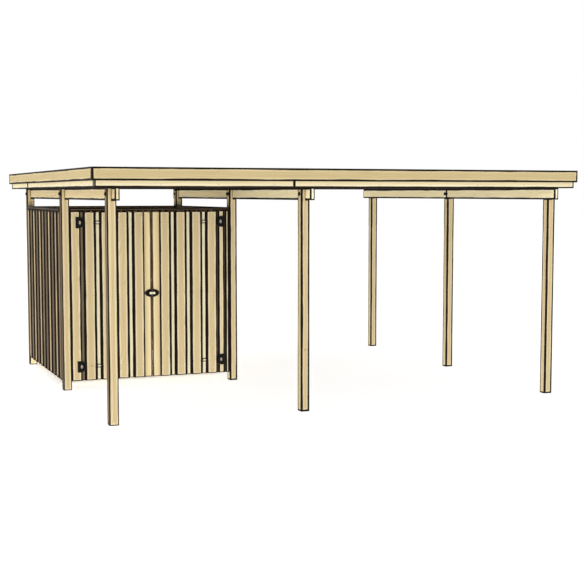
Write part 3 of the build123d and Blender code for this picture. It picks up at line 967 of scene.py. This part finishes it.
wall_nails = []
for side, wall in WALLS.items():
    low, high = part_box("shed_wall_" + side)
    corner = [high[i] if wall["inward"][i] < 0 else low[i] for i in (0, 1)] + [0]
    span = abs((high - low).dot(Vector(wall["run"])))
    boards, nails = wall_boards(span, low.z, high.z, wall["weather"])
    stand = standing(corner, wall["run"], wall["inward"])
    lay_boards("wall_boards_" + side, boards, stand, ["cladding", "inner"], "root", "shed_wall_" + side)
    wall_nails += [(stand @ nail, -Vector(wall["inward"])) for nail in nails]
print(len(wall_nails), "nails in the walls")

# %% [markdown]
# ### Shed front
# A fixed strip on each side closes the front beside the doors. The jamb behind it reaches behind the edge of
# the door leaf, where it is rebated by a millimetre and stops the door. The jambs are coloured dark brown, as
# painted shade of the deep slot between strip and door.

# %% Front strips
IN_PLACE = Matrix.Identity(4)
LEFT_STRIP = 118 * MM
RIGHT_STRIP = 74 * MM
BATTEN_WIDTH = 42 * MM
BATTEN_CLEARANCE = 8 * MM
STOP_LAP = 10 * MM
STOP_CLEARANCE = 1 * MM
REBATE_CLEARANCE = 8 * MM
RIGHT_REVEAL = 14 * MM


def jamb(post_side, door_side, rebate_width, front, back, foot, head):
    """A jamb of six corners, from the post to the rebate behind the door."""
    step = rebate_width if door_side < post_side else -rebate_width
    profile = [(post_side, front), (door_side + step, front), (door_side + step, front + STOP_CLEARANCE),
               (door_side, front + STOP_CLEARANCE), (door_side, back), (post_side, back)]
    start, stop = sorted((post_side, door_side))
    return board((start, front, foot), (stop, back, head), "z", 1, profile=profile)


low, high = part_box("front_strip_left")
jamb_front = low.y + BOARD_THICKNESS
boards = [board(low, (low.x + LEFT_STRIP, jamb_front, high.z), "z"),
          jamb(low.x, high.x, REBATE_CLEARANCE + STOP_LAP, jamb_front, high.y, low.z, high.z)]
lay_boards("strip_boards_left", boards, IN_PLACE, ["cladding", "jamb"], "root", "front_strip_left")

low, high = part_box("front_strip_right")
strip_start = low.x + STOP_LAP + RIGHT_REVEAL
batten_end = high.x - BATTEN_CLEARANCE
boards = [board((strip_start, low.y, low.z), (strip_start + RIGHT_STRIP, jamb_front, high.z), "z"),
          board((batten_end - BATTEN_WIDTH, low.y, low.z), (batten_end, jamb_front, high.z), "z"),
          jamb(high.x, low.x, RIGHT_REVEAL + STOP_LAP, jamb_front, high.y, low.z, high.z)]
lay_boards("strip_boards_right", boards, IN_PLACE, ["cladding", "jamb"], "root", "front_strip_right")

# %% [markdown]
# ### Door leaves
# A leaf is boarded like the walls, with four outer boards, inner boards behind their gaps, and a
# narrower inner board at the meeting edge. Inside, three ledges and a brace hold it square: the
# brace climbs from the hinge side so that it carries the weight in compression. The outer boards
# that a hinge strap passes behind are cut away for it. The right leaf mirrors the left one, so u
# runs from the hinge edge on both.

# %% Sizes of a leaf
LEAF_BOARD_COUNT = 4
HOUSED_BOARD_COUNT = 2
MEETING_BOARD_REVEAL = 85 * MM
LEDGE_THICKNESS = 28 * MM
LEDGE_HEIGHT = 95 * MM
LEDGE_INSET = 15 * MM
LOW_LEDGE_RISE = 102 * MM
HIGH_LEDGE_DROP = 177 * MM
BRACE_WIDTH = 90 * MM
MEETING_STAIN = 7 * MM
MEETING_WEAR = 2
HARDLY_STAINED = 0.01 * MM
HINGE_HOUSING = 40.8 * MM
print("a leaf has", LEAF_BOARD_COUNT, "outer boards")

# %% Leaf boards
def board_pitch(leaf_width):
    """The distance from one outer board of a leaf to the next."""
    return (leaf_width - MEETING_BOARD_REVEAL - BOARD_WIDTH) / (LEAF_BOARD_COUNT - 1)


def leaf_boards(width, foot, head, wall_head, strap_levels):
    """Boards, ledges and brace of a leaf in its own u, v, z, and the places of its nails."""
    pitch = board_pitch(width)
    inner_face = 2 * BOARD_THICKNESS
    ledge_face = inner_face + LEDGE_THICKNESS
    ledges = three_levels(foot + LOW_LEDGE_RISE, wall_head - HIGH_LEDGE_DROP)
    housings = [(level - HINGE_HOUSING / 2, level + HINGE_HOUSING / 2) for level in strap_levels]
    boards, nails = [], []
    for i in range(LEAF_BOARD_COUNT):
        left = i * pitch
        boards.append(board((left, 0, foot), (left + BOARD_WIDTH, BOARD_THICKNESS, head), "z",
                            housings=housings if i < HOUSED_BOARD_COUNT else ()))
        nails += [Vector((u, 0, level + LEDGE_HEIGHT / 2)) for level in ledges
                  for u in (left + NAIL_INSET, left + BOARD_WIDTH - NAIL_INSET)]
    for i in range(LEAF_BOARD_COUNT - 1):
        left = i * pitch + BOARD_WIDTH - BOARD_LAP
        right = (i + 1) * pitch + BOARD_LAP
        boards.append(board((left, BOARD_THICKNESS, foot), (right, inner_face, head), "z", 1,
                            stain=INNER_EDGE_SHADE, lapped=BOARD_LAP))
    boards.append(board((width - MEETING_BOARD_REVEAL - BOARD_LAP, BOARD_THICKNESS, foot),
                        (width, inner_face, head), "z", 2, stain=MEETING_STAIN,
                        weather=(0, -MEETING_WEAR, 0)))
    for level in ledges:
        boards.append(board((LEDGE_INSET, inner_face, level),
                            (width - LEDGE_INSET, ledge_face, level + LEDGE_HEIGHT), "x"))
    brace = board((LEDGE_INSET, inner_face, ledges[0] + LEDGE_HEIGHT),
                  (LEDGE_INSET + BRACE_WIDTH, ledge_face, ledges[2]), "z", stain=HARDLY_STAINED)
    rise = brace["high"].z - brace["low"].z
    for corner in brace["corners"]:
        corner.x += (width - 2 * LEDGE_INSET - BRACE_WIDTH) * (corner.z - brace["low"].z) / rise
    return boards + [brace], nails


print("the brace is", round(BRACE_WIDTH / MM), "mm wide")

# %% Two leaves
STRAP_HEIGHT = 40 * MM
TOWARD_MIDDLE = {"left": 1, "right": -1}


def hinge_levels(side):
    """Heights of the middles of a leaf's two hinges."""
    low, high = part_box("door_" + side + "_straps")
    return low.z + STRAP_HEIGHT / 2, high.z - STRAP_HEIGHT / 2


leaf_nails = {}
wall_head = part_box("shed_wall_left")[1].z
for side, direction in TOWARD_MIDDLE.items():
    low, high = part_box("door_" + side)
    hinge_edge = low.x if side == "left" else high.x
    stand = standing((hinge_edge, low.y, 0), (direction, 0, 0), (0, 1, 0))
    boards, nails = leaf_boards(high.x - low.x, low.z, high.z, wall_head, hinge_levels(side))
    lay_boards("leaf_boards_" + side, boards, stand, ["cladding", "door_inner", "inner"],
               "door_leaf_" + side, "door_" + side)
    leaf_nails[side] = [(stand @ nail, Vector((0, -1, 0))) for nail in nails]

# %% [markdown]
# ## Iron
# Hinge plates, straps and pull are lacquered black. In the middle of a plate or strap, where it
# is touched and rubbed, the lacquer has worn through to the zinc beneath. A mask of the distance
# to the nearest worn place decides between the two.

# %% Lacquered iron
LACQUER_BLACK = "#0B0A08"
LACQUER_GRAIN = 3 * MM
GRAIN_HEIGHT = 0.5 * MM
LACQUER_BUMP = 0.15
LACQUER_SHINE = 0.15
LACQUER_ROUGHNESS = (0.6, 0.65)
WORN_EDGE = (1.25, 1.05)
WORN_PATCH = 12 * MM
WORN_RAGGED = 0.3


def lacquered_iron(name, worn_places, worn_size, worn_colour):
    """Black lacquer on zinc, worn through around some places. worn_size is the half size of a worn patch."""
    material, tree, surface, place = new_material(name)
    nearest = None
    for centre in worn_places:
        away = add(tree, "VectorMath", place, centre, operation="SUBTRACT")
        away = add(tree, "VectorMath", away, worn_size, operation="DIVIDE")
        away = add(tree, "VectorMath", away, operation="LENGTH")
        nearest = add(tree, "Math", nearest, away, operation="MINIMUM") if nearest else away
    ragged = add(tree, "TexNoise", Vector=place, Scale=1 / WORN_PATCH, Detail=3)
    nearest = add(tree, "Math", ragged, WORN_RAGGED, nearest, operation="MULTIPLY_ADD")
    worn = add(tree, "MapRange", nearest, *WORN_EDGE)
    mix = add(tree, "Mix", worn, colour(LACQUER_BLACK), colour(worn_colour), data_type="RGBA")
    rough = add(tree, "MapRange", worn, 0, 1, *LACQUER_ROUGHNESS)
    grain = add(tree, "TexNoise", Vector=place, Scale=1 / LACQUER_GRAIN, Detail=2)
    bump = add(tree, "Bump", Strength=LACQUER_BUMP, Distance=GRAIN_HEIGHT, Height=grain)
    fill(surface, Base_Color=mix, Roughness=rough, Normal=bump, Specular_IOR_Level=LACQUER_SHINE)
    return material


print("the lacquer's grain is", round(LACQUER_GRAIN / MM), "mm")

# %% Hinges and pull
PLATE_WORN = Vector((13, 40, 21)) * MM
STRAP_WORN = Vector((19, 40, 12)) * MM
PULL_WORN = Vector((31, 17, 25)) * MM
WORN_ZINC = "#A89C8A"
WORN_BRIGHT = "#E8DCC0"
GRIP_CREAM = "#F4E8C8"
IRON_EDGE = 0.8 * MM
NO_SLOT = -1


def finish_iron(node, name, worn_places, worn_size, worn_colour):
    """Gives iron of the frame its lacquer and rounds its edges."""
    piece = dress(node, [lacquered_iron(name, worn_places, worn_size, worn_colour)])
    ease_edges(piece, IRON_EDGE, NO_SLOT)


for side, direction in TOWARD_MIDDLE.items():
    low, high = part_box("hinge_plates_" + side)
    places = [Vector(((low.x + high.x) / 2, low.y, level)) for level in hinge_levels(side)]
    finish_iron("hinge_plates_" + side, "lacquered_plate_" + side, places, PLATE_WORN, WORN_ZINC)

    low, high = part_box("door_" + side)
    hinge_edge = low.x if side == "left" else high.x
    gap_centre = hinge_edge + direction * (BOARD_WIDTH + board_pitch(high.x - low.x)) / 2
    strap_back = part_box("door_" + side + "_straps")[1].y
    places = [Vector((gap_centre, strap_back, level)) for level in hinge_levels(side)]
    finish_iron("door_" + side + "_straps", "lacquered_strap_" + side, places, STRAP_WORN, WORN_BRIGHT)

    low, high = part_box("door_" + side + "_pull")
    meeting_edge = high.x if side == "left" else low.x
    places = [Vector((meeting_edge, low.y, (low.z + high.z) / 2))]
    finish_iron("door_" + side + "_pull", "lacquered_pull_" + side, places, PULL_WORN, GRIP_CREAM)
print("iron finished")

# %% [markdown]
# ## Fixings
# Heads of bolts, nails and screws are turned or pressed, so each is a stack of rings round its
# axis, given by their height over the surface and their radius. All fixings of a kind that move
# together are one mesh.

# %% Turned heads
def turned_rings(point, axis, profile, sides):
    """The rings of a turned part whose profile is a list of height and radius, both in millimetres."""
    side = axis.orthogonal().normalized()
    other = axis.cross(side)
    turns = [2 * math.pi * i / sides for i in range(sides)]
    return [point + (axis * height + (side * math.cos(turn) + other * math.sin(turn)) * radius) * MM
            for height, radius in profile for turn in turns]


def lay_fixings(name, places, parts, material, body="root"):
    """One mesh with the same turned parts at each place, which is a point and the way it faces."""
    points, faces = [], []
    for point, axis in places:
        for profile, sides in parts:
            first = len(points)
            points += turned_rings(point, axis, profile, sides)
            faces += ring_faces(first, len(points) - first, sides)
    new_piece(name, points, faces, [material], body)
    print(name, "at", len(places), "places")


nut_ring = turned_rings(Vector((0, 0, 0)), Vector((0, 0, 1)), [(0, 10)], 6)
print("one ring of a nut has", len(nut_ring), "corners")

# %% [markdown]
# The bolts are galvanised and dipped in black paint, the nails are dull zinc, and the screws
# have the yellow film that zinc gets from its passivation bath. A coating is never quite even,
# so colour and roughness vary in patches.

# %% Coated steel
COATING_SPREAD = 0.1


def fixing_steel(name, dark, light, patch, metallic, roughness):
    """Coated steel whose coating varies in patches of a given size."""
    material, tree, surface, place = new_material(name)
    patches, mix = patchy(tree, place, patch, dark, light)
    rough = add(tree, "MapRange", patches, 0, 1, roughness - COATING_SPREAD, roughness + COATING_SPREAD)
    fill(surface, Base_Color=mix, Roughness=rough, Metallic=metallic, Specular_IOR_Level=LACQUER_SHINE)
    return material


black_bolt_steel = fixing_steel("black_painted_bolt", "#0A0807", "#1A1612", 8 * MM, 0, 0.6)
dull_zinc = fixing_steel("dull_zinc_nail", "#6E6656", "#A39A86", 3 * MM, 0.6, 0.55)
yellow_zinc = fixing_steel("yellow_zinc_screw", "#A58F5C", "#C8B27E", 3 * MM, 0.3, 0.5)
print("coatings:", black_bolt_steel.name, dull_zinc.name, yellow_zinc.name)

# %% [markdown]
# ### Bolts through the post heads
# A coach bolt with a large washer holds the beam in the notch of each post. On the middle row,
# where two lengths of a beam meet over the post, each length has a bolt of its own. The domed
# head is on the left, the nut on the right. The first and last posts on the right have coach
# screws instead, which are driven from the right and end inside the beam.

# %% Bolts
BOLT_DROP = 60 * MM
BOLT_FROM_JOINT = 22 * MM
ROUND_SIDES = 16
NUT_SIDES = 6
WASHER = ([(-0.5, 21), (3, 21), (3.5, 20.5), (3.5, 6)], ROUND_SIDES)
DOMED_HEAD = ([(3, 16.5), (7, 16.5), (11.5, 13.5), (14.5, 9), (15.5, 3.5)], ROUND_SIDES)
HEX_NUT = ([(3, 9.6), (3.8, 10.9), (12.2, 10.9), (13, 9.6)], NUT_SIDES)
THREAD_END = ([(12, 6), (17, 6), (18.5, 5)], ROUND_SIDES)
OUTWARD = {"front": Vector((0, -1, 0)), "back": Vector((0, 1, 0)), "left": Vector((-1, 0, 0)),
           "right": Vector((1, 0, 0))}

heads, nuts = [], []
for column, row in itertools.product(COLUMNS, ROWS):
    low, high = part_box("post_" + column + "_" + row)
    for shift in ((-BOLT_FROM_JOINT, BOLT_FROM_JOINT) if row == "middle" else (0,)):
        on_left = Vector((low.x, (low.y + high.y) / 2 + shift, head_height - BOLT_DROP))
        on_right = Vector((high.x, on_left.y, on_left.z))
        if column == "right" and row != "middle":
            heads.append((on_right, OUTWARD["right"]))
        else:
            heads.append((on_left, OUTWARD["left"]))
            nuts.append((on_right, OUTWARD["right"]))
lay_fixings("post_bolt_heads", heads, [WASHER, DOMED_HEAD], black_bolt_steel)
lay_fixings("post_bolt_nuts", nuts, [WASHER, HEX_NUT, THREAD_END], black_bolt_steel)

# %% [markdown]
# ### Nails and screws
# Every board is nailed to each rail or ledge behind it, an outer board with two nails and an
# inner one, which has to shrink and swell freely, with one in its middle. On the doors only the
# outer boards show nails. The roof edge is screwed: the rim to the rafters and the fascia to
# the rim.

# %% Nails
NAIL_HEAD = ([(-1, 3.5), (0.3, 3.5), (0.9, 2.6), (1.1, 1.2)], 10)

lay_fixings("wall_nails", wall_nails, [NAIL_HEAD], dull_zinc)
for side, nails in leaf_nails.items():
    lay_fixings("leaf_nails_" + side, nails, [NAIL_HEAD], dull_zinc, "door_leaf_" + side)

# %% Screws of the roof edge
SCREW_HEAD = ([(-1, 4.5), (0.4, 4.5), (0.7, 4.2), (0.7, 2.2), (-0.8, 1.7)], 12)
RIM_SCREW_RISE = 30 * MM
FASCIA_SCREW_INSET = 28 * MM
FIRST_SCREW = 60 * MM
LARGEST_SCREW_PITCH = 620 * MM


def screw_row(start, stop):
    """Evenly spaced places from one end of a board to the other, clear of its ends."""
    first, last = start + FIRST_SCREW, stop - FIRST_SCREW
    count = math.ceil((last - first) / LARGEST_SCREW_PITCH)
    return [first + (last - first) * i / count for i in range(count + 1)]


screws = []
for side, axis in OUTWARD.items():
    run = "xyz".index(ROOF_SIDES[side])
    for name in ("rim_", "fascia_"):
        low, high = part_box(name + side)
        levels = [low.z + RIM_SCREW_RISE]
        if name == "fascia_":
            levels = [low.z + FASCIA_SCREW_INSET, high.z - FASCIA_SCREW_INSET]
        for place, level in itertools.product(screw_row(low[run], high[run]), levels):
            point = Vector((0, 0, level))
            point[run] = place
            point[1 - run] = (high if axis[1 - run] > 0 else low)[1 - run]
            screws.append((point, axis))
lay_fixings("roof_edge_screws", screws, [SCREW_HEAD], yellow_zinc)

# %% [markdown]
# The hinge plates are screwed to the strips at four corners round each hinge, and each half of
# the pull with one screw at its tip. These screws are black like the iron.

# %% Screws of the iron
IRON_SCREW_HEAD = ([(-1, 6), (1.2, 5.8), (2.6, 4.6), (3, 2.4), (1.6, 1.8)], 12)
PLATE_THICKNESS = 5 * MM
PLATE_SCREWS_ACROSS = (14 * MM, 50 * MM)
PLATE_SCREWS_UP = (-45 * MM, 45 * MM)
PULL_THICKNESS = 6 * MM
PULL_SCREW_INSET = 13 * MM

for side, direction in TOWARD_MIDDLE.items():
    low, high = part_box("hinge_plates_" + side)
    outer_edge = low.x if side == "left" else high.x
    strip_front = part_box("front_strip_" + side)[0].y
    places = itertools.product(hinge_levels(side), PLATE_SCREWS_ACROSS, PLATE_SCREWS_UP)
    screws = [(Vector((outer_edge + direction * across, strip_front - PLATE_THICKNESS, level + up)),
               OUTWARD["front"]) for level, across, up in places]
    lay_fixings("plate_screws_" + side, screws, [IRON_SCREW_HEAD], black_bolt_steel)

    low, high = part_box("door_" + side + "_pull")
    tip = low.x if side == "left" else high.x
    pull_face = strip_front + BOARD_THICKNESS - PULL_THICKNESS
    place = Vector((tip + direction * PULL_SCREW_INSET, pull_face, (low.z + high.z) / 2))
    lay_fixings("pull_screw_" + side, [(place, OUTWARD["front"])], [IRON_SCREW_HEAD], black_bolt_steel,
                "door_leaf_" + side)

# %% [markdown]
# ## Roofing felt
# Bitumen felt is sold one metre wide and laid with laps, and its top is strewn with slate grit.
# The grit is finer than a pixel, so it is drawn 6 mm wide.

# %% Felt
GRIT_SIZE = 6 * MM
CLOUDS_PER_METRE = 1.4
FELT_GREY = "#5B5A57"
FELT_LIGHT = "#7C7A75"
FELT_ROUGHNESS = 0.9
GRIT_BUMP = 0.4
GRIT_HEIGHT = 1 * MM

felt_material, tree, surface, place = new_material("slate_strewn_felt")
grit = add(tree, "TexVoronoi", Vector=place, Scale=1 / GRIT_SIZE)
cloud = add(tree, "TexNoise", Vector=place, Scale=CLOUDS_PER_METRE, Detail=4)
mixed = add(tree, "Math", grit, cloud, operation="MULTIPLY")
mix = add(tree, "Mix", mixed, colour(FELT_GREY), colour(FELT_LIGHT), data_type="RGBA")
bump = add(tree, "Bump", Strength=GRIT_BUMP, Distance=GRIT_HEIGHT, Height=grit)
fill(surface, Base_Color=mix, Normal=bump, Roughness=FELT_ROUGHNESS)
dress("roof_felt", [felt_material])
print("felt:", len(tree.nodes), "nodes")

# %% [markdown]
# The top layer is torched on in strips one metre wide, each with its front edge over the strip
# before it. The steps where they lap are a few millimetres high, and they show from above.

# %% Felt strips
FELT_STRIP_WIDTH = 1000 * MM
FELT_LAP = 100 * MM
FELT_SHEET = 3 * MM
FELT_BED = 4 * MM
FELT_MARGIN = 8 * MM
FELT_STEPS = 40
FELT_RIPPLE = 0.8 * MM
STEP_RUN = 12 * MM

low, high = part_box("roof_felt")
start, stop = low.y + FELT_MARGIN, high.y - FELT_MARGIN
strip_count = math.ceil((stop - start - FELT_LAP) / (FELT_STRIP_WIDTH - FELT_LAP))
points, faces = [], []
for strip in range(strip_count):
    front = start + strip * (FELT_STRIP_WIDTH - FELT_LAP)
    back = min(front + FELT_STRIP_WIDTH, stop)
    rise = FELT_SHEET if strip else 0
    under = [(front, rise), (front + FELT_LAP, rise), (front + FELT_LAP + STEP_RUN, 0), (back, 0)]
    over_it = [(y, z + FELT_SHEET) for y, z in reversed(under)]
    first = len(points)
    for i in range(FELT_STEPS + 1):
        x = low.x + FELT_MARGIN + (high.x - low.x - 2 * FELT_MARGIN) * i / FELT_STEPS
        ripple = random.uniform(0, FELT_RIPPLE)
        points += [Vector((x, y, low.z + FELT_BED + z)) for y, z in under]
        points += [Vector((x, y, low.z + FELT_BED + z + ripple)) for y, z in over_it]
    faces += ring_faces(first, len(points) - first, len(under) + len(over_it))
new_piece("felt_strips", points, faces, [felt_material], "root")
print(strip_count, "strips of felt")

# %% [markdown]

# %% Finish
print("scene finished")
